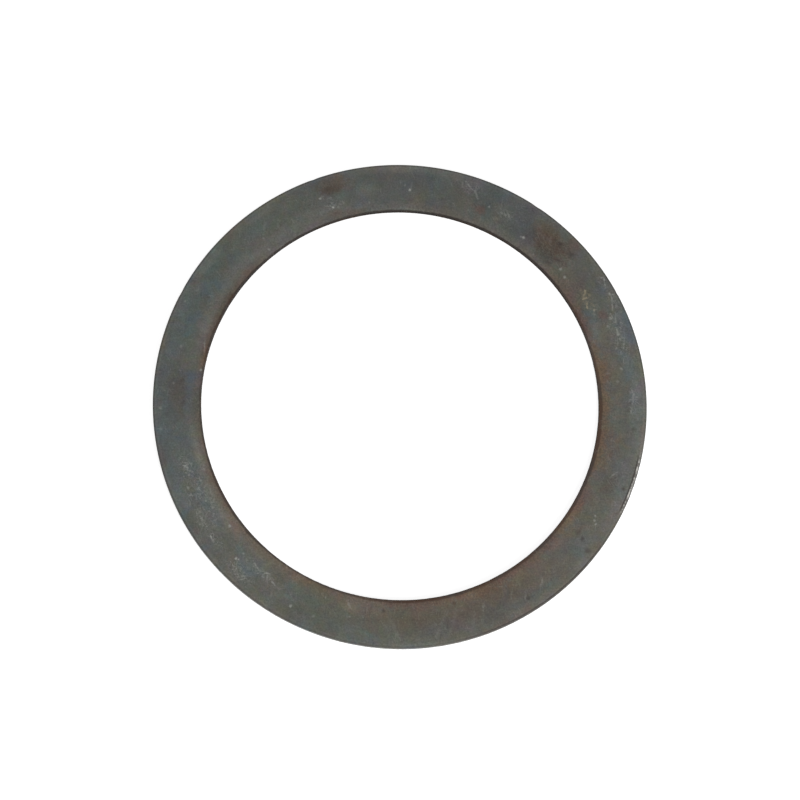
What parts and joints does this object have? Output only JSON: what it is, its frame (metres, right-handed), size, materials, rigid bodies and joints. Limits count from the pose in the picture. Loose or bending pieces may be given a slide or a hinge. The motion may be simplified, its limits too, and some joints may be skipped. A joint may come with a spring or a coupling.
{
  "type": "washer",
  "caption": "Flat steel ring washer that takes up the gap between a shaft shoulder and a bearing, with dark oxidised faces and rusty edges.",
  "frame": {"origin": "centre of the bore on the lower face, which is the one it lies on", "axes": "+Z along the bore axis, towards the face with the rolled corners; X and Y lie in the lower face, and any direction round the axis is alike"},
  "size_m": [0.0996, 0.0996, 0.002],
  "materials": {
    "oxidised_steel": "dull dark oxide, rust brown round the bore, worn bright at the rim"
  },
  "bodies": {
    "root": {"washer": "oxidised_steel"}
  },
  "joints": []
}
